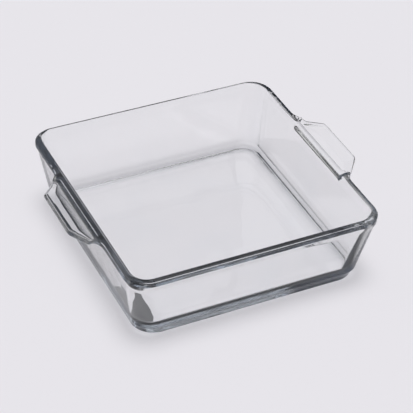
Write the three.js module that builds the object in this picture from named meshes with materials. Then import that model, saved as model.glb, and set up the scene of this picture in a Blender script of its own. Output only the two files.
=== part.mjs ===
// Square glass baking dish with two tab handles, pressed in clear glass.
// Millimetres, +Z up. The handles lie along X. Origin: middle of the face that the dish stands on.
// The dish is one pressing. It is drawn as its zones, which meet face to face.

import * as THREE from 'three';
import { mergeVertices } from 'three/addons/utils/BufferGeometryUtils.js';

// Mouth and walls
const rimSide = 220; // across the rim, without the handles
const height = 64; // from the table to the top of the rim
const wallThickness = 5.5; // measured level
const wallDraft = 10; // degrees that each wall leans out
const wallCornerRadius = 15; // outside of the wall, seen from above
const insideCornerRadius = 16.5; // inside of the wall, just above the floor's fillet
const mouthCornerRadius = 13.4; // inside of the wall, at the rim

// Rim bead
const beadHeight = 4.6; // from the top of the rim to the wall below the bead
const beadOverhang = 1.6; // how far the bead stands out of the wall
const beadUnderside = 1.5; // height of the sloping underside
const crownOuter = 1.8; // height of the rounding on the outer edge
const crownInner = 2.6; // height of the rounding on the inner edge
const rimCornerRadius = 19.5; // outside of the bead, seen from above

// Base
const floorThickness = 5.5; // at the middle of the dish, down to the table
const floorFillet = 11; // inside, between floor and wall
const floorLip = 0.8; // least height up that fillet where base becomes wall
const floorCornerRadius = 10; // of the flat floor, seen from above
const footHeight = 5.5; // upright side of the foot
const footInset = 1.9; // foot set back from the line of the wall
const footCornerRadius = 18.8; // of the foot, seen from above
const footEdge = 1.2; // rounding of the edge that meets the table
const heelHeight = 3.2; // rounding from the foot out to the wall
const heelLand = 0.1; // least wall left on the base above that rounding
const bearingWidth = 6; // flat ring that touches the table
const undersideRecess = 0.6; // depth of the underside inside that ring
const recessSlope = 5; // width of the slope between ring and recess

// Handles
const handleReach = 18.7; // from the rim out to the tip
const handleTip = 52; // length of the tip, measured to its sharp corners
const handleCorner = 5; // rounding of those corners, seen from above
const handleFlank = 40; // degrees between a flank and the rim
const handleFlare = 24; // radius that sweeps a flank into the rim
const handleFeather = 0.4; // how proud of the rim that sweep ends
const handleThickness = 4.2;
const handleRise = 15.5; // degrees that the tab tilts up
const handleNose = 2.1; // depth of the rounding along the tab's edge
const noseShare = 0.8; // most of a short reach that this rounding takes
const shelfMargin = 14.5; // along the rim, from the end of a sweep to the tab's lowered shelf
const shelfEnd = 1.6; // slope at each end of the shelf
const shelfStep = 0.6; // rim face showing above the shelf's fillet
const shelfFillet = 1.5; // between that face and the shelf

// Smoothness
const cornerSteps = 7; // half the segments of each corner
const roundSteps = 7; // segments of each rounding in the section
const flareSteps = 5; // half the segments of a handle's sweep
const noseSteps = 6; // segments of the tab's edge
const filletSteps = 2; // segments of the shelf's fillet

const glass = new THREE.MeshStandardMaterial({
  color: 0xdfe3e8,
  roughness: 0.03,
  metalness: 0,
  transparent: true,
  opacity: 0.35,
});

// Section of the walls: half sides by height
const draft = Math.tan(THREE.MathUtils.degToRad(wallDraft));
const rimHalf = rimSide / 2;
const rimBase = height - beadHeight;
const outerWall = (z) => rimHalf - beadOverhang - (rimBase - z) * draft;
const innerWall = (z) => outerWall(z) - wallThickness;

// Inside fillet, tangent to the floor and to the leaning wall
const filletLean = THREE.MathUtils.degToRad(wallDraft);
const filletZ = floorThickness + floorFillet;
const floorHalf = innerWall(filletZ) - floorFillet / Math.cos(filletLean);

// Corner radius of the inside, which changes evenly from the fillet up to the mouth
const filletEndZ = filletZ - floorFillet * Math.sin(filletLean);
const mouthZ = height - crownInner;
const insideRadius = (z) =>
  THREE.MathUtils.mapLinear(z, filletEndZ, mouthZ, insideCornerRadius, mouthCornerRadius);

// Level where base becomes wall, above the foot's heel and a little way up the inside fillet
const wallFoot = footHeight + heelHeight;
const baseTop = Math.max(floorThickness + floorLip, wallFoot + heelLand);
const lipAngle = Math.acos(1 - (baseTop - floorThickness) / floorFillet);

// One level ring of the dish: a square with round corners, counterclockwise from above
function ring(half, radius, z) {
  const core = half - radius;
  const path = new THREE.Path();
  path.absarc(core, core, radius, 0, Math.PI / 2);
  path.absarc(-core, core, radius, Math.PI / 2, Math.PI);
  path.absarc(-core, -core, radius, Math.PI, Math.PI * 1.5);
  path.absarc(core, -core, radius, Math.PI * 1.5, Math.PI * 2);
  return path.getPoints(cornerSteps).map((p) => new THREE.Vector3(p.x, p.y, z));
}

// A ring on the inside fillet, at an angle up from the floor
function filletRing(angle) {
  const climb = angle / (Math.PI / 2 - filletLean);
  const half = floorHalf + floorFillet * Math.sin(angle);
  const radius = THREE.MathUtils.lerp(floorCornerRadius, insideCornerRadius, climb);
  return ring(half, radius, filletZ - floorFillet * Math.cos(angle));
}

function filletRings(from, to) {
  const rings = [];
  for (let i = 0; i <= roundSteps; i += 1) {
    rings.push(filletRing(THREE.MathUtils.lerp(from, to, i / roundSteps)));
  }
  return rings;
}

function quads(index, a, b, width) {
  for (let j = 0; j < width; j += 1) {
    const k = (j + 1) % width;
    index.push(a + j, a + k, b + k, a + j, b + k, b + j);
  }
}

function fan(index, hub, start, width, flip) {
  for (let j = 0; j < width; j += 1) {
    const k = (j + 1) % width;
    index.push(hub, start + (flip ? k : j), start + (flip ? j : k));
  }
}

function solid(points, index) {
  const geometry = new THREE.BufferGeometry().setFromPoints(points);
  geometry.setIndex(index);
  return mergeVertices(geometry);
}

// Skin over rings that close into a hoop, up the outside and down the inside
function hoop(rings) {
  const width = rings[0].length;
  const index = [];
  rings.forEach((_, i) => quads(index, i * width, ((i + 1) % rings.length) * width, width));
  return solid(rings.flat(), index);
}

// Skin over rings that run from one end to the other, closed by a fan at both ends
function stack(rings, firstHub, lastHub) {
  const width = rings[0].length;
  const count = rings.length * width;
  const index = [];
  for (let i = 0; i + 1 < rings.length; i += 1) {
    quads(index, i * width, (i + 1) * width, width);
  }
  fan(index, count, 0, width, true);
  fan(index, count + 1, count - width, width, false);
  return solid([...rings.flat(), firstHub, lastHub], index);
}

function quarter(half, z, reach, rise, from, to) {
  return new THREE.EllipseCurve(half, z, reach, rise, from, to).getPoints(roundSteps);
}

function baseGeometry() {
  const footHalf = outerWall(wallFoot) - footInset;
  const heelHalf = outerWall(wallFoot);
  const bearingHalf = footHalf - footEdge - bearingWidth;
  const underRadius = (half) => (footCornerRadius * half) / footHalf;
  const heelRadius = (half) =>
    THREE.MathUtils.mapLinear(half, footHalf, heelHalf, footCornerRadius, wallCornerRadius);
  const edge = quarter(footHalf - footEdge, footEdge, footEdge, footEdge, -Math.PI / 2, 0);
  const heel = quarter(footHalf, wallFoot, footInset, heelHeight, -Math.PI / 2, 0);
  const recess = [
    new THREE.Vector2(bearingHalf - recessSlope, undersideRecess),
    new THREE.Vector2(bearingHalf, 0),
  ];
  const rings = [
    ...recess.map((p) => ring(p.x, underRadius(p.x), p.y)),
    ...edge.map((p) => ring(p.x, underRadius(p.x), p.y)),
    ...heel.map((p) => ring(p.x, heelRadius(p.x), p.y)),
    ring(outerWall(baseTop), wallCornerRadius, baseTop),
    ...filletRings(0, lipAngle).reverse(),
  ];
  return stack(rings, new THREE.Vector3(0, 0, undersideRecess), new THREE.Vector3(0, 0, floorThickness));
}

function wallGeometry() {
  return hoop([
    ring(outerWall(baseTop), wallCornerRadius, baseTop),
    ring(outerWall(rimBase), wallCornerRadius, rimBase),
    ring(innerWall(rimBase), insideRadius(rimBase), rimBase),
    ...filletRings(lipAngle, Math.PI / 2 - filletLean).reverse(),
  ]);
}

function rimGeometry() {
  const mouthHalf = innerWall(mouthZ);
  const crest = (rimHalf + mouthHalf) / 2;
  const crownRadius = (half) =>
    THREE.MathUtils.mapLinear(half, mouthHalf, rimHalf, mouthCornerRadius, rimCornerRadius);
  const outerCrown = quarter(crest, height - crownOuter, rimHalf - crest, crownOuter, 0, Math.PI / 2);
  const innerCrown = quarter(crest, mouthZ, crest - mouthHalf, crownInner, Math.PI / 2, Math.PI);
  const crown = [...outerCrown, ...innerCrown.slice(1)];
  return hoop([
    ring(outerWall(rimBase), wallCornerRadius, rimBase),
    ring(rimHalf, rimCornerRadius, rimBase + beadUnderside),
    ...crown.map((p) => ring(p.x, crownRadius(p.x), p.y)),
    ring(innerWall(rimBase), insideRadius(rimBase), rimBase),
  ]);
}

// Plan of a handle: x is the reach out of the rim, y runs along the rim
function handlePlan() {
  const lean = THREE.MathUtils.degToRad(handleFlank);
  const tipHalf = handleTip / 2;
  const sweepReach = handleFlare * (1 - Math.cos(lean));
  const flankLength = (handleReach - handleFeather - sweepReach) / Math.sin(lean);
  const trim = handleCorner * Math.tan((Math.PI / 2 - lean) / 2);
  const sweepY = tipHalf + flankLength * Math.cos(lean) + handleFlare * Math.sin(lean);
  const sweepX = handleFeather + handleFlare;
  const cornerX = handleReach - handleCorner;
  const cornerY = tipHalf - trim;
  const path = new THREE.Path();
  path.absarc(sweepX, -sweepY, handleFlare, Math.PI, Math.PI - lean, true);
  path.absarc(cornerX, -cornerY, handleCorner, -lean, 0);
  path.absarc(cornerX, cornerY, handleCorner, 0, lean);
  path.absarc(sweepX, sweepY, handleFlare, Math.PI + lean, Math.PI, true);
  return path.getPoints(flareSteps);
}

// The handle's plan with extra stations where its shelf starts and ends
function handleStations() {
  const plan = handlePlan();
  const shelfHalf = plan[plan.length - 1].y - shelfMargin;
  const reachAt = (y) => {
    const i = plan.findIndex((p) => p.y > y);
    const share = (y - plan[i - 1].y) / (plan[i].y - plan[i - 1].y);
    return THREE.MathUtils.lerp(plan[i - 1].x, plan[i].x, share);
  };
  const ends = [-shelfHalf, shelfEnd - shelfHalf, shelfHalf - shelfEnd, shelfHalf];
  const clear = (p) => ends.every((y) => Math.abs(p.y - y) > handleFeather);
  const added = ends.map((y) => new THREE.Vector2(reachAt(y), y));
  const stations = [...plan.filter(clear), ...added].sort((p, q) => p.y - q.y);
  const fullReach = reachAt(-shelfHalf);
  return stations.map((p) => ({
    y: p.y,
    reach: p.x,
    depth: Math.min(1, p.x / fullReach),
    shelf: Math.abs(p.y) < shelfHalf - shelfEnd / 2,
  }));
}

// Upright cut through the right handle: the rim and wall side first, then over the top to the underside
function handleSection({ reach, depth, shelf }) {
  const rise = Math.tan(THREE.MathUtils.degToRad(handleRise));
  const flankBottom = rimBase + beadUnderside;
  const flankTop = height - crownOuter;
  const filletTop = flankBottom - shelfStep;
  const filletX = rimHalf + shelfFillet;
  const nose = Math.min(handleNose, reach * noseShare);
  const noseX = rimHalf + reach - nose;
  const climb = (noseX - filletX) * rise;
  const shelfRoot = filletTop - shelfFillet;
  const under = shelfRoot - handleThickness / Math.cos(Math.atan(rise));
  const wallZ = THREE.MathUtils.lerp(rimBase - beadUnderside, under, depth);
  const tipTop = shelf ? shelfRoot + climb : flankTop;
  const tipUnder = THREE.MathUtils.lerp(flankBottom, under + climb, depth);
  const noseRise = (tipTop - tipUnder) / 2;
  const noseZ = tipUnder + noseRise;
  const fillet = new THREE.EllipseCurve(filletX, filletTop, shelfFillet, shelfFillet, Math.PI, Math.PI * 1.5);
  const level = new THREE.LineCurve(new THREE.Vector2(rimHalf, flankTop), new THREE.Vector2(noseX, flankTop));
  const edge = new THREE.EllipseCurve(noseX, noseZ, nose, noseRise, Math.PI / 2, -Math.PI / 2, true);
  return [
    new THREE.Vector2(outerWall(wallZ), wallZ),
    new THREE.Vector2(outerWall(rimBase), rimBase),
    new THREE.Vector2(rimHalf, flankBottom),
    ...(shelf ? fillet.getPoints(filletSteps) : level.getPoints(filletSteps + 1).slice(0, -1)),
    ...edge.getPoints(noseSteps),
  ];
}

function handleGeometry() {
  const rings = handleStations().map((station) =>
    handleSection(station).map((p) => new THREE.Vector3(p.x, station.y, p.y)),
  );
  const hub = (points) =>
    points.reduce((sum, p) => sum.add(p), new THREE.Vector3()).divideScalar(points.length);
  return stack(rings, hub(rings[0]), hub(rings[rings.length - 1]));
}

function named(name, geometry) {
  const mesh = new THREE.Mesh(geometry, glass);
  mesh.name = name;
  return mesh;
}

const dish = new THREE.Group();
dish.add(named('base', baseGeometry()));
dish.add(named('side_wall', wallGeometry()));
dish.add(named('rim', rimGeometry()));
dish.add(named('right_handle', handleGeometry()));

const leftHandle = named('left_handle', handleGeometry());
leftHandle.rotation.z = Math.PI;
dish.add(leftHandle);

export default dish;
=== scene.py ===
import math

import bpy
from mathutils import Matrix, Vector


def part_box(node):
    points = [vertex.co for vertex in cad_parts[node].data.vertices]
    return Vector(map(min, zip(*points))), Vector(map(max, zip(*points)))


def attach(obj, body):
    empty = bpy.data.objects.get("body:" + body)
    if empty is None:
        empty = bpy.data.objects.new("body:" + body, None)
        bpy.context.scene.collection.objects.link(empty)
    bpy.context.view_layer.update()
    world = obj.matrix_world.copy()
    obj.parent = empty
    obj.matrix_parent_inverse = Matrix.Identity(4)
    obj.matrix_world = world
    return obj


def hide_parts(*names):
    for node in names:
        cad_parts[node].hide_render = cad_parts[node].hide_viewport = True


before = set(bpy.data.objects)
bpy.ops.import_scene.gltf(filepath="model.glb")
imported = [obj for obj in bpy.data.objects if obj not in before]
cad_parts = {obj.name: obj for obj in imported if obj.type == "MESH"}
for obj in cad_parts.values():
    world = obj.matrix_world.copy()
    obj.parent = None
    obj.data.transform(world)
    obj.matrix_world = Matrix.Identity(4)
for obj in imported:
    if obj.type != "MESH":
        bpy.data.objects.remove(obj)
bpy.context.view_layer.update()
mm = 0.001

# Overall sizes come from the frame, in millimetres
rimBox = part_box("rim")
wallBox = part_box("side_wall")
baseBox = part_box("base")
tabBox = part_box("right_handle")
rimHalf = rimBox[1].x / mm
rimTop = rimBox[1].z / mm
rimBase = rimBox[0].z / mm
wallTopHalf = wallBox[1].x / mm
wallFootHalf = baseBox[1].x / mm
wallFootZ = baseBox[1].z / mm
tabReach = tabBox[1].x / mm - rimHalf
wallLean = math.atan((wallTopHalf - wallFootHalf) / (rimBase - wallFootZ))
print("frame read: rim", round(2 * rimHalf, 1), "mm wide,", round(rimTop, 1), "mm high")

# Section of the dish, in millimetres
dishSizes = {
    "wall": 5.5,  # thickness, measured level
    "wallCorner": 15.0,  # corner radius outside the wall
    "rimCorner": 19.5,  # outside the bead
    "mouthCorner": 13.4,  # inside the bead
    "insideCorner": 16.5,  # inside the wall, just above the floor's fillet
    "floorCorner": 10.0,  # of the flat floor
    "footCorner": 18.8,
    "floor": 5.5,  # top of the floor above the table
    "floorFillet": 11.0,
    "foot": 5.5,  # upright side of the foot
    "footInset": 1.9,
    "footEdge": 0.5,
    "heel": 3.2,
    "bearing": 6.0,  # flat ring that touches the table
    "recess": 0.6,
    "recessSlope": 14.0,
    "crownInner": 2.6,
    "crest": 0.36,  # where the top of the crown lies across the rim
    "crownDrop": 0.4,  # how far the crown falls towards its outer edge
    "crownBow": 0.4,  # share of that fall halfway from the crest
    "crownEdge": 0.5,  # rounding of the crown's outer edge
    "crownTurn": 75,  # degrees that this edge turns through
    "ledge": 1.75,  # below the rim's top
    "ledgeDepth": 1.2,
    "ledgeEdge": 0.35,
    "beadLean": 0.5,  # how far the bead's face leans in
    "beadUnder": 0.4,
    "flare": 5.6,  # height over which the wall swells into the bead
}

# Tab handles, in millimetres and degrees
tabSizes = {
    "tip": 52.0,  # straight edge, to its sharp corners
    "flank": 40.0,  # angle between flank and rim
    "tipBlend": 1.8,  # how far the tip's corners are softened
    "sweepBlend": 6.5,  # how softly a flank runs into the rim
    "rise": 15.5,
    "thickness": 4.2,
    "nose": 2.1,
    "underFillet": 3.0,
    "shelfFillet": 1.5,
    "shelfDrop": 3.7,  # from the rim's top to the shelf's fillet
    "shelfHalf": 42.0,
    "shelfEnd": 2.6,
}

# Mesh density, as steps along each stretch
meshSteps = {
    "side": 120,
    "corner": 24,
    "round": 8,
    "fillet": 16,
    "nose": 10,
    "wall": 12,
    "recessSlope": 5,
    "tabFillet": 5,
    "crownEdge": 5,
    "ledgeEdge": 4,
    "ledgeFace": 2,
    "flush": 3,  # rows over which the bead starts to follow a tab
}
flatShares = (0, 0.4, 0.8)  # rows across a flat middle
shelfShares = (0.33, 0.66)  # rows between a tab's root and its nose
weldGap = 1e-6  # metres


def outerWall(z):
    return wallTopHalf - (rimBase - z) * math.tan(wallLean)


def innerWall(z):
    return outerWall(z) - dishSizes["wall"]


def shares(steps):  # from 0 to 1
    return [i / steps for i in range(steps + 1)]


def arc(centre, radii, start, end, steps):  # points of an ellipse's arc, degrees
    turns = [math.radians(start + (end - start) * i / steps) for i in range(steps + 1)]
    return [(centre[0] + radii[0] * math.cos(t), centre[1] + radii[1] * math.sin(t)) for t in turns]


def line(a, b, steps):  # points from a towards b, without b
    return [(a[0] + (b[0] - a[0]) * i / steps, a[1] + (b[1] - a[1]) * i / steps) for i in range(steps)]


def spread(path, count):  # count points at equal steps along a path
    gaps = [math.dist(a, b) for a, b in zip(path, path[1:])]
    total = sum(gaps)
    points = []
    for i in range(count):
        want = total * i / (count - 1)
        k = 0
        while k < len(gaps) - 1 and want > gaps[k]:
            want -= gaps[k]
            k += 1
        share = min(1.0, want / gaps[k])
        a, b = path[k], path[k + 1]
        points.append((a[0] + (b[0] - a[0]) * share, a[1] + (b[1] - a[1]) * share))
    return points


# One row of the section: plain place, corner radius, then how a tab moves it
def row(place, radius, flush=0.0, tab=None, grow=(0.0, 0.0)):
    return {"place": place, "radius": radius, "flush": flush, "tab": tab or place, "grow": grow}


def blend(a, b, share):
    return a + (b - a) * share


def underRows():  # recess, foot and heel
    s = dishSizes
    heelTop = s["foot"] + s["heel"]
    footHalf = outerWall(heelTop) - s["footInset"]
    bearingHalf = footHalf - s["footEdge"] - s["bearing"]
    recessHalf = bearingHalf - s["recessSlope"]
    slope = [(recessHalf + s["recessSlope"] * t, s["recess"] * (1 + math.cos(math.pi * t)) / 2)
             for t in shares(meshSteps["recessSlope"])]
    edge = arc((footHalf - s["footEdge"], s["footEdge"]), (s["footEdge"],) * 2, -90, 0, meshSteps["round"])
    heel = arc((footHalf, heelTop), (s["footInset"], s["heel"]), -90, 0, meshSteps["round"])
    flat = [(recessHalf * t, s["recess"]) for t in flatShares]
    rows = [row(p, s["footCorner"] * p[0] / footHalf) for p in flat + slope + edge]
    for p in heel[1:]:
        share = (p[0] - footHalf) / s["footInset"]
        rows.append(row(p, blend(s["footCorner"], s["wallCorner"], share)))
    return rows


def beadRadius(half):  # corner radius on the bead's outer side
    share = (half - wallTopHalf) / (rimHalf - wallTopHalf)
    return blend(dishSizes["wallCorner"], dishSizes["rimCorner"], max(0.0, share))


def tabRows():  # the bead, and the tab that is drawn out of it
    s, d = tabSizes, dishSizes
    rise = math.tan(math.radians(s["rise"]))
    beadUnder = rimBase + d["beadUnder"]
    crownFoot = rimTop - d["ledge"] - d["ledgeEdge"]
    shelfTop = rimTop - s["shelfDrop"]
    shelfRoot = shelfTop - s["shelfFillet"]
    filletX = rimHalf + s["shelfFillet"]
    under = shelfRoot - s["thickness"] / math.cos(math.radians(s["rise"]))

    # the tab's own section, with how much each point follows the reach
    wallFillet = []
    r = s["underFillet"]
    wallX = outerWall(under - r)
    for t in shares(meshSteps["tabFillet"]):
        a, b, c = (wallX, under - r), (outerWall(under), under), (outerWall(under) + r, under + r * rise)
        wallFillet.append(tuple(a[k] * (1 - t) ** 2 + 2 * b[k] * t * (1 - t) + c[k] * t * t for k in (0, 1)))
    rows = [(p, (0.0, 0.0)) for p in wallFillet]
    noseHalf = s["thickness"] / 2 / math.cos(math.radians(s["rise"]))
    nose = arc((rimHalf - s["nose"], shelfRoot - noseHalf), (s["nose"], noseHalf), -90, 90, meshSteps["nose"])
    for t in shelfShares:
        a, b = wallFillet[-1], nose[0]
        start = (a[0] + (b[0] - a[0]) * t, a[1] + (b[1] - a[1]) * t)
        rows.append((start, (t, t * rise)))
    drop = (filletX - rimHalf + s["nose"]) * rise
    rows += [((p[0], p[1] - drop), (1.0, rise)) for p in nose]
    for t in reversed(shelfShares):
        rows.append(((filletX + (rimHalf - s["nose"] - filletX) * t, shelfRoot - drop * t), (t, t * rise)))
    fillet = arc((filletX, shelfTop), (s["shelfFillet"],) * 2, -90, -180, meshSteps["tabFillet"])
    rows += [(p, (0.0, 0.0)) for p in fillet]
    rows.append(((rimHalf - d["beadLean"] / 2, (shelfTop + crownFoot) / 2), (0.0, 0.0)))

    # the plain bead, on which the same rows lie where there is no tab
    flareZ = rimBase - d["flare"]
    plainWall = [(wallX, under - r), (outerWall(flareZ), flareZ), (rimHalf, beadUnder)]
    beadFace = [(rimHalf, beadUnder), (rimHalf - d["beadLean"], crownFoot)]
    wallCount = len(wallFillet) + len(shelfShares)
    places = spread(plainWall, wallCount) + spread(beadFace, len(rows) - wallCount + 1)[1:]
    out = []
    for i, ((p, grow), place) in enumerate(zip(rows, places)):
        flush = min(1.0, max(0.0, (i - len(wallFillet) + 1) / meshSteps["flush"]))
        out.append(row(place, beadRadius(place[0]), flush, p, grow))
    return out


def upperRows():  # crown, inside of the wall and floor
    d = dishSizes
    innerTop = rimTop - d["crownInner"]
    innerHalf = innerWall(innerTop)
    crest = innerHalf + d["crest"] * (rimHalf - innerHalf)
    edge, small = d["crownEdge"], d["ledgeEdge"]
    faceTop, ledgeZ = rimHalf - d["beadLean"], rimTop - d["ledge"]
    stepHalf = faceTop - d["ledgeDepth"]
    crownStart = (stepHalf - edge, rimTop - edge - d["crownDrop"])
    outer = arc((faceTop - small, ledgeZ - small), (small, small), 0, 90, meshSteps["ledgeEdge"])
    outer += arc((stepHalf + small, ledgeZ + small), (small, small), 270, 180, meshSteps["ledgeEdge"])
    crown = arc(crownStart, (edge, edge), 0, d["crownTurn"], meshSteps["crownEdge"])
    outer += line((stepHalf, ledgeZ + small), crown[0], meshSteps["ledgeFace"])[1:] + crown
    outer += [((crown[-1][0] + crest) / 2, rimTop - d["crownDrop"] * d["crownBow"]), (crest, rimTop)]
    inner = arc((crest, innerTop), (crest - innerHalf, d["crownInner"]), 90, 180, meshSteps["round"])
    rows = []
    for p in outer + inner[1:]:
        share = (p[0] - innerHalf) / (rimHalf - innerHalf)
        radius = blend(d["mouthCorner"], d["rimCorner"], share)
        rows.append(row(p, radius, max(0.0, (p[0] - crest) / (rimHalf - crest))))

    lean = math.degrees(wallLean)
    filletZ = d["floor"] + d["floorFillet"]
    floorHalf = innerWall(filletZ) - d["floorFillet"] / math.cos(wallLean)
    fillet = arc((floorHalf, filletZ), (d["floorFillet"],) * 2, -lean, -90, meshSteps["fillet"])
    for p in line((innerHalf, innerTop), fillet[0], meshSteps["wall"])[1:]:
        share = (innerTop - p[1]) / (innerTop - fillet[0][1])
        rows.append(row(p, blend(d["mouthCorner"], d["insideCorner"], share)))
    for i, p in enumerate(fillet):
        rows.append(row(p, blend(d["insideCorner"], d["floorCorner"], i / meshSteps["fillet"])))
    rows += [row((floorHalf * t, d["floor"]), d["floorCorner"] * t) for t in reversed(flatShares)]
    return rows


def sectionRows():  # from the middle underneath, round the rim, to the middle of the floor
    below = underRows()
    tab = tabRows()
    wall = line(below[-1]["place"], tab[0]["place"], meshSteps["wall"])[1:]
    return below + [row(p, dishSizes["wallCorner"]) for p in wall] + tab + upperRows()[1:]


def sectionMesh(rows):  # the section as loose points, in metres, with its tab moves as attributes
    mesh = bpy.data.meshes.new("dishSection")
    mesh.from_pydata([(r["place"][0] * mm, 0, r["place"][1] * mm) for r in rows], [], [])
    for name, unit in (("radius", mm), ("flush", 1.0)):
        values = mesh.attributes.new(name, "FLOAT", "POINT").data
        values.foreach_set("value", [r[name] * unit for r in rows])
    for name, unit in (("tab", mm), ("grow", 1.0)):
        values = mesh.attributes.new(name, "FLOAT_VECTOR", "POINT").data
        values.foreach_set("vector", [x for r in rows for x in (r[name][0] * unit, 0.0, r[name][1] * unit)])
    return mesh


class Tree:  # short hands for building a node tree
    def __init__(self, tree):
        self.tree = tree

    def add(self, kind, inputs=None, **settings):
        node = self.tree.nodes.new(kind)
        for name, value in settings.items():
            setattr(node, name, value)
        for name, value in (inputs or {}).items():
            self.feed(node.inputs[name], value)
        return node

    def feed(self, socket, value):
        if isinstance(value, bpy.types.NodeSocket):
            self.tree.links.new(value, socket)
        else:
            socket.default_value = value

    def math(self, operation, *values):
        node = self.add("ShaderNodeMath", operation=operation)
        for i, value in enumerate(values):
            self.feed(node.inputs[i], value)
        return node.outputs[0]

    def vector(self, operation, *values):
        node = self.add("ShaderNodeVectorMath", operation=operation)
        for i, value in enumerate(values):
            socket = node.inputs["Scale"] if operation == "SCALE" and i == 1 else node.inputs[i]
            self.feed(socket, value)
        return node.outputs[0]

    def mixColour(self, share, first, second):
        node = self.add("ShaderNodeMix", {"Factor": share}, data_type="RGBA")
        self.feed(node.inputs[6], first)
        self.feed(node.inputs[7], second)
        return node.outputs[2]

    def mixShader(self, share, first, second):
        node = self.add("ShaderNodeMixShader", {"Fac": share})
        self.feed(node.inputs[1], first.outputs[0])
        self.feed(node.inputs[2], second.outputs[0])
        return node

    def finish(self, output, shader, socket="Surface"):
        self.feed(self.tree.nodes[output].inputs[socket], shader.outputs[0])


sweepInputs = {
    "Side Steps": ("NodeSocketInt", meshSteps["side"]),
    "Corner Steps": ("NodeSocketInt", meshSteps["corner"]),
    "Tab Reach": ("NodeSocketFloat", tabReach * mm),
    "Tab Tip": ("NodeSocketFloat", tabSizes["tip"] / 2 * mm),
    "Tab Flank": ("NodeSocketFloat", math.tan(math.radians(tabSizes["flank"]))),
    "Tip Blend": ("NodeSocketFloat", tabSizes["tipBlend"] * mm),
    "Sweep Blend": ("NodeSocketFloat", tabSizes["sweepBlend"] * mm),
    "Shelf Half": ("NodeSocketFloat", tabSizes["shelfHalf"] * mm),
    "Shelf End": ("NodeSocketFloat", tabSizes["shelfEnd"] * mm),
    "Material": ("NodeSocketMaterial", None),
}


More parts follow.
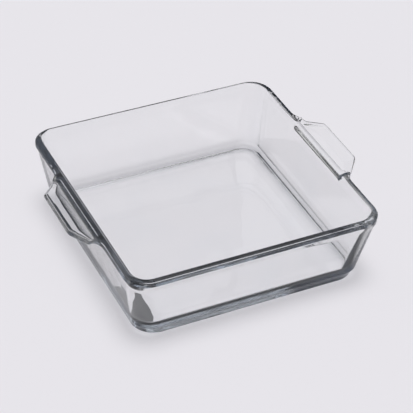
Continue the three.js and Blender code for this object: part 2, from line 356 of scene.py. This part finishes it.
def sweepTree():  # sweeps the section round a square with round corners and draws the tabs out of two sides
    group = bpy.data.node_groups.new("dishSweep", "GeometryNodeTree")
    group.interface.new_socket("Section", in_out="INPUT", socket_type="NodeSocketGeometry")
    for name, (kind, value) in sweepInputs.items():
        group.interface.new_socket(name, in_out="INPUT", socket_type=kind)
    group.interface.new_socket("Dish", in_out="OUTPUT", socket_type="NodeSocketGeometry")
    t = Tree(group)
    sizes = t.add("NodeGroupInput").outputs
    rows = t.add("GeometryNodeAttributeDomainSize", {"Geometry": sizes["Section"]}).outputs["Point Count"]

    # a grid with one column of points for each place round the dish
    quarter = t.math("ADD", sizes["Side Steps"], sizes["Corner Steps"])
    columns = t.math("MULTIPLY_ADD", quarter, 4.0, 1.0)
    grid = t.add("GeometryNodeMeshGrid", {"Vertices X": columns, "Vertices Y": rows})
    index = t.add("GeometryNodeInputIndex").outputs[0]
    column = t.math("FLOOR", t.math("DIVIDE", t.math("ADD", index, 0.5), rows))
    rowIndex = t.math("SUBTRACT", index, t.math("MULTIPLY", column, rows))

    def sampled(name, kind):
        value = t.add("GeometryNodeInputNamedAttribute", {"Name": name}, data_type=kind).outputs[0]
        sample = t.add("GeometryNodeSampleIndex", data_type=kind)
        t.feed(sample.inputs["Geometry"], sizes["Section"])
        t.feed(sample.inputs["Value"], value)
        t.feed(sample.inputs["Index"], rowIndex)
        return sample.outputs[0]

    place = sampled("position", "FLOAT_VECTOR")
    radius = sampled("radius", "FLOAT")
    flush = sampled("flush", "FLOAT")
    tab = sampled("tab", "FLOAT_VECTOR")
    grow = sampled("grow", "FLOAT_VECTOR")

    # where a column stands: which side, how far along it, and how far round its corner
    side = t.math("FLOOR", t.math("DIVIDE", t.math("ADD", column, 0.5), quarter))
    step = t.math("SUBTRACT", column, t.math("MULTIPLY", side, quarter))
    along = t.add("ShaderNodeMapRange", {"Value": step, "From Max": sizes["Side Steps"],
                                        "To Min": -1.0, "To Max": 1.0}).outputs[0]
    past = t.math("MAXIMUM", t.math("SUBTRACT", step, sizes["Side Steps"]), 0.0)
    turn = t.math("MULTIPLY", t.math("DIVIDE", past, sizes["Corner Steps"]), math.pi / 2)
    outward = t.add("ShaderNodeCombineXYZ", {"X": t.math("COSINE", turn), "Y": t.math("SINE", turn)}).outputs[0]
    core = t.add("ShaderNodeCombineXYZ", {"X": 1.0, "Y": along}).outputs[0]

    # how far the tab reaches out at this point
    plainHalf = t.add("ShaderNodeSeparateXYZ", {"Vector": place}).outputs["X"]
    coreHalf = t.math("SUBTRACT", plainHalf, radius)
    fromMiddle = t.math("ABSOLUTE", t.math("MULTIPLY", along, coreHalf))
    flankLine = t.math("SUBTRACT", sizes["Tab Reach"],
                       t.math("MULTIPLY", t.math("SUBTRACT", fromMiddle, sizes["Tab Tip"]), sizes["Tab Flank"]))
    tip = t.math("SMOOTH_MIN", sizes["Tab Reach"], flankLine, sizes["Tip Blend"])
    swept = t.math("SMOOTH_MAX", tip, 0.0, sizes["Sweep Blend"])
    hasTab = t.math("COMPARE", t.math("MODULO", side, 2.0), 0.0, 0.5)
    reach = t.math("MULTIPLY", swept, hasTab)
    shelfStart = t.math("SUBTRACT", sizes["Shelf Half"], sizes["Shelf End"])
    shelf = t.add("ShaderNodeMapRange", {"Value": fromMiddle, "From Min": sizes["Shelf Half"],
                                        "From Max": shelfStart}, interpolation_type="SMOOTHSTEP").outputs[0]
    shelf = t.math("MULTIPLY", shelf, hasTab)

    # the row's place with or without the tab, turned to its side of the square
    flushMove = t.add("ShaderNodeCombineXYZ", {"X": t.math("MULTIPLY", flush, reach)}).outputs[0]
    flushPlace = t.vector("ADD", place, flushMove)
    tabPlace = t.vector("ADD", tab, t.vector("SCALE", grow, reach))
    shaped = t.add("ShaderNodeMix", {"Factor": shelf}, data_type="VECTOR")
    t.feed(shaped.inputs[4], flushPlace)
    t.feed(shaped.inputs[5], tabPlace)
    shapedXyz = t.add("ShaderNodeSeparateXYZ", {"Vector": shaped.outputs[1]}).outputs
    skin = t.math("SUBTRACT", shapedXyz["X"], coreHalf)
    level = t.add("ShaderNodeCombineXYZ", {"Z": shapedXyz["Z"]}).outputs[0]
    spot = t.vector("ADD", t.vector("SCALE", core, coreHalf), t.vector("SCALE", outward, skin))
    spot = t.vector("ADD", spot, level)
    spin = t.add("ShaderNodeVectorRotate", {"Vector": spot, "Angle": t.math("MULTIPLY", side, math.pi / 2)},
                 rotation_type="Z_AXIS").outputs[0]

    placed = t.add("GeometryNodeSetPosition", {"Geometry": grid.outputs["Mesh"], "Position": spin})
    merged = t.add("GeometryNodeMergeByDistance", {"Geometry": placed.outputs[0], "Distance": weldGap})
    smooth = t.add("GeometryNodeSetShadeSmooth", {"Geometry": merged.outputs[0]})
    real = t.add("GeometryNodeRealizeInstances", {"Geometry": smooth.outputs[0]})
    clad = t.add("GeometryNodeSetMaterial", {"Geometry": real.outputs[0], "Material": sizes["Material"]})
    t.add("NodeGroupOutput", {"Dish": clad.outputs[0]})
    return group


def makeDish(material):
    rows = sectionRows()
    source = bpy.data.objects.new("dishSource", sectionMesh(rows))
    bpy.context.scene.collection.objects.link(source)
    sweep = source.modifiers.new("sweep", "NODES")
    sweep.node_group = sweepTree()
    keys = {item.name: item.identifier for item in sweep.node_group.interface.items_tree}
    for name, (kind, value) in sweepInputs.items():
        sweep[keys[name]] = material if name == "Material" else value
    depsgraph = bpy.context.evaluated_depsgraph_get()
    mesh = bpy.data.meshes.new_from_object(source.evaluated_get(depsgraph))
    bpy.data.objects.remove(source)
    mesh.name = "glassDish"
    dish = bpy.data.objects.new("glass_dish", mesh)
    bpy.context.scene.collection.objects.link(dish)
    print("dish swept:", len(rows), "rows,", len(mesh.polygons), "faces")
    return dish


# Clear pressed glass
glassFinish = {
    "colour": (1.0, 1.0, 1.0, 1.0),
    "streakColour": (0.975, 0.985, 0.99, 1.0),  # faint streaks of the pressing
    "streakScale": 18.0,  # per metre
    "streakStretch": (1.0, 1.0, 0.25),  # streaks run up the walls
    "streakDetail": 3.0,
    "streakRange": (0.45, 0.75),  # noise between which a streak sets in
    "waveScale": 38.0,  # slow waves of the pressed faces, per metre
    "waveDepth": 0.00025,  # metres
    "depthTint": (0.78, 0.84, 0.92, 1.0),  # colour of a long way through the glass
    "depth": 6.0,  # how fast that colour builds up, per metre
    "ior": 1.47,
    "roughness": 0.0,
    "edgeShade": 0.52,  # share of a lamp's light that is lost at a glancing angle
    "edgeFalloff": 2.0,
}


def newMaterial(name):
    material = bpy.data.materials.new(name)
    material.use_nodes = True
    return material, Tree(material.node_tree)


def pressedGroup():  # faint streaks and slow waves of pressed glass
    g = glassFinish
    group = bpy.data.node_groups.new("pressedFace", "ShaderNodeTree")
    sockets = {"Clear": "NodeSocketColor", "Streak": "NodeSocketColor",
               "Streak Scale": "NodeSocketFloat", "Wave Scale": "NodeSocketFloat"}
    for name, kind in sockets.items():
        group.interface.new_socket(name, in_out="INPUT", socket_type=kind)
    group.interface.new_socket("Colour", in_out="OUTPUT", socket_type="NodeSocketColor")
    group.interface.new_socket("Height", in_out="OUTPUT", socket_type="NodeSocketFloat")
    t = Tree(group)
    given = t.add("NodeGroupInput").outputs
    place = t.add("ShaderNodeTexCoord").outputs["Object"]
    drawn = t.vector("MULTIPLY", place, g["streakStretch"])
    streak = t.add("ShaderNodeTexNoise", {"Vector": drawn, "Scale": given["Streak Scale"],
                                         "Detail": g["streakDetail"]})
    start, full = g["streakRange"]
    share = t.add("ShaderNodeMapRange", {"Value": streak.outputs[0], "From Min": start, "From Max": full})
    colour = t.mixColour(share.outputs[0], given["Clear"], given["Streak"])
    wave = t.add("ShaderNodeTexNoise", {"Vector": place, "Scale": given["Wave Scale"], "Detail": 0.0})
    t.add("NodeGroupOutput", {"Colour": colour, "Height": wave.outputs[0]})
    return group


def clearGlass():
    g = glassFinish
    material, t = newMaterial("clearGlass")
    shader = material.node_tree.nodes["Principled BSDF"]
    pressed = t.add("ShaderNodeGroup", node_tree=pressedGroup())
    for name, key in (("Clear", "colour"), ("Streak", "streakColour"),
                      ("Streak Scale", "streakScale"), ("Wave Scale", "waveScale")):
        pressed.inputs[name].default_value = g[key]
    bump = t.add("ShaderNodeBump", {"Height": pressed.outputs["Height"], "Distance": g["waveDepth"]})
    t.feed(shader.inputs["Base Color"], pressed.outputs["Colour"])
    t.feed(shader.inputs["Normal"], bump.outputs[0])
    shader.inputs["Roughness"].default_value = g["roughness"]
    shader.inputs["IOR"].default_value = g["ior"]
    shader.inputs["Transmission Weight"].default_value = 1.0

    # light from the lamps passes straight through, except near the edges
    clear = t.add("ShaderNodeBsdfTransparent")
    rays = t.add("ShaderNodeLightPath").outputs
    facing = t.add("ShaderNodeLayerWeight").outputs["Facing"]
    lost = t.math("MULTIPLY", t.math("POWER", facing, g["edgeFalloff"]), g["edgeShade"])
    fromLamp = t.math("MAXIMUM", rays["Is Shadow Ray"], rays["Is Diffuse Ray"])
    passed = t.math("MULTIPLY", fromLamp, t.math("SUBTRACT", 1.0, lost))
    t.finish("Material Output", t.mixShader(passed, shader, clear))
    body = t.add("ShaderNodeVolumeAbsorption", {"Color": g["depthTint"], "Density": g["depth"]})
    t.finish("Material Output", body, "Volume")
    print("glass mixed: ior", g["ior"])
    return material


dish = makeDish(clearGlass())
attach(dish, "root")
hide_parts("base", "side_wall", "rim", "left_handle", "right_handle")


def stageMesh(name, points, faces, material):
    mesh = bpy.data.meshes.new(name)
    mesh.from_pydata(points, [], faces)
    mesh.materials.append(material)
    thing = bpy.data.objects.new(name, mesh)
    bpy.context.scene.collection.objects.link(thing)
    return thing


def stageQuad(name, x, y, z, material):
    points = [(x[0], y[0], z), (x[1], y[0], z), (x[1], y[1], z), (x[0], y[1], z)]
    return stageMesh(name, points, [(0, 1, 2, 3)], material)


# Pale floor, in metres; light reflected inside the glass sees a painted glow on it instead: painted shade in
# the zones, a dimmer painted pale elsewhere, and a strip of painted light
floorLook = {
    "size": 40.0,
    "level": -0.0002,
    "colour": (0.778, 0.763, 0.802, 1.0),
    # painted tones that only light reflected inside the glass sees: a dim pale, and shade in the zones
    "insidePaintedPale": (0.42, 0.415, 0.43, 1.0),
    "insidePaintedShade": (0.020, 0.021, 0.025, 1.0),
    "paintedShadeZones": {  # ramps of each zone of painted shade: axis, where it sets in and where it is full
        "left": [("X", -0.066, -0.078)],
        "front": [("Y", -0.050, -0.086)],
        "right": [("X", 0.088, 0.092), ("X", 0.106, 0.100)],
        "far": [("Y", 0.010, 0.022), ("X", 0.074, 0.066), ("Y", 0.116, 0.110)],
        "back": [("Y", 0.082, 0.086), ("Y", 0.116, 0.110)],
    },
    "paleStrip": [("Y", -0.114, -0.110), ("Y", -0.098, -0.101)],  # taken out of the front zone of painted shade
    "paintedLightStrip": [("X", 0.074, 0.078), ("X", 0.092, 0.088)],  # painted light, twice as bright
}


def paleFloor():
    f = floorLook
    material, t = newMaterial("paleFloor")
    shader = material.node_tree.nodes["Principled BSDF"]
    shader.inputs["Base Color"].default_value = f["colour"]
    shader.inputs["Roughness"].default_value = 1.0
    shader.inputs["Specular IOR Level"].default_value = 0.0
    place = t.add("ShaderNodeTexCoord").outputs["Object"]
    xyz = t.add("ShaderNodeSeparateXYZ", {"Vector": place}).outputs

    def zone(ramps):  # 1 inside the zone, 0 outside it
        share = 1.0
        for axis, start, full in ramps:
            ramp = t.add("ShaderNodeMapRange", {"Value": xyz[axis], "From Min": start, "From Max": full},
                         interpolation_type="SMOOTHSTEP").outputs[0]
            share = t.math("MULTIPLY", share, ramp)
        return share

    # painted shade where the zones lie and painted light on the strip, glowing only for light reflected inside
    # the glass
    zones = {name: zone(ramps) for name, ramps in f["paintedShadeZones"].items()}
    zones["front"] = t.math("SUBTRACT", zones["front"], zone(f["paleStrip"]))
    dark = 0.0
    for share in zones.values():
        dark = t.math("MAXIMUM", dark, share)
    tone = t.mixColour(dark, f["insidePaintedPale"], f["insidePaintedShade"])
    bright = t.math("ADD", 1.0, zone(f["paintedLightStrip"]))
    glow = t.add("ShaderNodeEmission", {"Color": tone, "Strength": bright})
    # light reflected inside the glass sees the painted glow, all other light sees the pale floor
    rays = t.add("ShaderNodeLightPath").outputs
    inside = t.math("MULTIPLY", t.math("GREATER_THAN", rays["Glossy Depth"], 0.5),
                    t.math("GREATER_THAN", rays["Transmission Depth"], 0.5))
    t.finish("Material Output", t.mixShader(inside, shader, glow))
    span = (-f["size"] / 2, f["size"] / 2)
    return stageQuad("floor", span, span, f["level"], material)


# Surroundings that only the glass shows, in metres, with tones as height and brightness
surroundLook = {
    "radius": 0.5,
    "height": 1.6,
    "sides": 64,
    "throughTones": [(0.0, 0.02)],  # seen through the glass
    "mirrorTones": [(0.20, 0.05), (0.33, 0.32)],  # mirrored in its faces
    "panels": {
        "cardLow": {
            "path": ((-0.30, 0.38), (-0.10, 0.48), (0.10, 0.48), (0.30, 0.38)),
            "heights": (0.0, 0.155),
            "tones": [(0.08, 0.28), (0.155, 0.04)],
        },
        "cardBack": {
            "path": ((-0.08, 0.42), (0.25, 0.42)),
            "heights": (0.16, 0.62),
            "tones": [(0.20, 0.20), (0.26, 0.20), (0.285, 0.42), (0.315, 0.42),
                      (0.335, 0.02), (0.43, 0.02), (0.455, 0.8)],
        },
        "cardBeside": {
            "path": ((0.26, 0.41), (0.381, 0.308)),
            "heights": (0.14, 0.52),
            "tones": [(0.30, 0.66), (0.40, 0.6)],
        },
        "cardHigh": {
            "path": ((0.15, 0.46), (0.35, 0.34), (0.47, 0.13), (0.47, -0.13)),
            "heights": (0.65, 1.6),
            "tones": [(0.65, 0.1), (0.80, 0.95)],
        },
    },
}


def onlyInGlass(thing):
    thing.visible_camera = thing.visible_diffuse = thing.visible_shadow = False
    return thing


def heightGlow(name, tones):  # brightness that follows the height above the floor
    material, t = newMaterial(name)
    place = t.add("ShaderNodeTexCoord").outputs["Object"]
    height = t.add("ShaderNodeSeparateXYZ", {"Vector": place}).outputs["Z"]
    tone = tones[0][1]
    for (low, before), (high, after) in zip(tones, tones[1:]):
        share = t.add("ShaderNodeMapRange", {"Value": height, "From Min": low, "From Max": high,
                                            "To Max": after - before}).outputs[0]
        tone = t.math("ADD", tone, share)
    t.finish("Material Output", t.add("ShaderNodeEmission", {"Color": (1.0, 1.0, 1.0, 1.0), "Strength": tone}))
    return material


def darkDrum(name, tones):  # wall round the table
    s = surroundLook
    count = s["sides"]
    points, faces = [], []
    for i in range(count):
        turn = 2 * math.pi * i / count
        x, y = s["radius"] * math.cos(turn), s["radius"] * math.sin(turn)
        points += [(x, y, 0.0), (x, y, s["height"])]
        j = (i + 1) % count
        faces.append((2 * i, 2 * j, 2 * j + 1, 2 * i + 1))
    return onlyInGlass(stageMesh(name, points, faces, heightGlow(name, tones)))


def panel(name, path, heights, tones):  # upright panel along a path, seen through the glass
    points = [(*p, z) for p in path for z in heights]
    faces = [(2 * i, 2 * i + 2, 2 * i + 3, 2 * i + 1) for i in range(len(path) - 1)]
    thing = onlyInGlass(stageMesh(name, points, faces, heightGlow(name, tones)))
    thing.visible_glossy = False


# Painted shadow: a dark strip under the near left corner of the foot, in metres, that only light through the
# glass sees
paintedShadowLook = {
    "x": (-0.094, -0.0845),
    "y": (-0.084, -0.036),
    "level": -0.0001,
    # both tones are painted shadow: as seen through the glass, and as mirrored inside it
    "colour": (0.150, 0.152, 0.160, 1.0),
    "mirrored": (0.020, 0.021, 0.025, 1.0),
    "crossings": 3.5,  # shows once light has crossed more faces of glass than this
}


def paintedShadowStrip():
    m = paintedShadowLook
    material, t = newMaterial("paintedShadowStrip")
    # painted shadow that glows for light which has crossed the glass
    rays = t.add("ShaderNodeLightPath").outputs
    bounced = t.math("GREATER_THAN", rays["Glossy Depth"], 0.5)
    glow = t.add("ShaderNodeEmission", {"Color": t.mixColour(bounced, m["colour"], m["mirrored"])})
    deep = t.math("GREATER_THAN", rays["Transmission Depth"], m["crossings"])
    t.finish("Material Output", t.mixShader(deep, t.add("ShaderNodeBsdfTransparent"), glow))
    onlyInGlass(stageQuad("paintedShadowCard", m["x"], m["y"], m["level"], material))


paleFloor()
darkDrum("cardThrough", surroundLook["throughTones"]).visible_glossy = False
darkDrum("cardMirror", surroundLook["mirrorTones"]).visible_transmission = False
for name, made in surroundLook["panels"].items():
    panel(name, **made)
paintedShadowStrip()
print("stage set: floor, drum, mat and", len(surroundLook["panels"]), "panels")

# Soft light from above
lightLevels = {
    "paleWorld": (0.783, 0.768, 0.807, 1.0),
    "fillColour": (1.0, 1.0, 1.0, 1.0),
    "fill": 0.36,  # world's light on matt surfaces
    "sun": 2.1,
    "sunAngle": 30.0,  # degrees, which softens the shadow
    "sunTilt": (2.0, 2.0),  # degrees towards the back and the right
    "bounces": 96,
    "clearBounces": 32,
}


def studioWorld():
    world = bpy.data.worlds.new("studio")
    bpy.context.scene.world = world
    world.use_nodes = True
    t = Tree(world.node_tree)
    rays = t.add("ShaderNodeLightPath").outputs
    seen = t.math("MAXIMUM", rays["Is Camera Ray"],
                  t.math("MAXIMUM", rays["Is Glossy Ray"], rays["Is Transmission Ray"]))
    pale = world.node_tree.nodes["Background"]
    pale.inputs["Color"].default_value = lightLevels["paleWorld"]
    fill = t.add("ShaderNodeBackground", {"Color": lightLevels["fillColour"], "Strength": lightLevels["fill"]})
    t.finish("World Output", t.mixShader(seen, fill, pale))


def overheadLight():
    lamp = bpy.data.lights.new("overhead", "SUN")
    lamp.energy = lightLevels["sun"]
    lamp.angle = math.radians(lightLevels["sunAngle"])
    light = bpy.data.objects.new("overhead", lamp)
    back, right = (math.radians(a) for a in lightLevels["sunTilt"])
    light.rotation_euler = (-back, right, 0)
    light.visible_glossy = light.visible_transmission = False
    bpy.context.scene.collection.objects.link(light)


studioWorld()
overheadLight()
bpy.context.scene.cycles.max_bounces = lightLevels["bounces"]
bpy.context.scene.cycles.transmission_bounces = lightLevels["bounces"]
bpy.context.scene.cycles.glossy_bounces = lightLevels["bounces"]
bpy.context.scene.cycles.transparent_max_bounces = lightLevels["clearBounces"]
print("light set: sun", lightLevels["sun"], "and fill", lightLevels["fill"])

# Camera, found from the photograph's edges
cameraFit = {
    "focal": 1691.43,  # pixels
    "frame": 413,  # pixels
    "sensor": 36.0,  # millimetres
    "elevation": 37.85,
    "azimuth": -27.05,
    "roll": 2.62,
    "distance": 1.4041,
    "aim": (0, 0, 0.0246),
    "slide": 0.00422,
    "lift": 0.00461,
    "clipEnd": 50.0,
}


def photoCamera():
    c = cameraFit
    az, el, roll = (math.radians(c[k]) for k in ("azimuth", "elevation", "roll"))
    back = Vector((math.sin(az) * math.cos(el), -math.cos(az) * math.cos(el), math.sin(el)))
    right = Vector((math.cos(az), math.sin(az), 0))
    up = back.cross(right)
    aim = Vector(c["aim"]) + c["slide"] * right + c["lift"] * up
    tiltRight = math.cos(roll) * right + math.sin(roll) * up
    tiltUp = -math.sin(roll) * right + math.cos(roll) * up
    data = bpy.data.cameras.new("photoCamera")
    data.sensor_width = c["sensor"]
    data.lens = c["sensor"] * c["focal"] / c["frame"]
    data.clip_end = c["clipEnd"]
    camera = bpy.data.objects.new("photoCamera", data)
    turn = Matrix((tiltRight, tiltUp, back)).transposed().to_4x4()
    camera.matrix_world = Matrix.Translation(aim + c["distance"] * back) @ turn
    bpy.context.scene.collection.objects.link(camera)
    bpy.context.scene.camera = camera
    print("camera set:", c["distance"], "m from the dish")


photoCamera()
bpy.context.scene.view_settings.view_transform = "Standard"
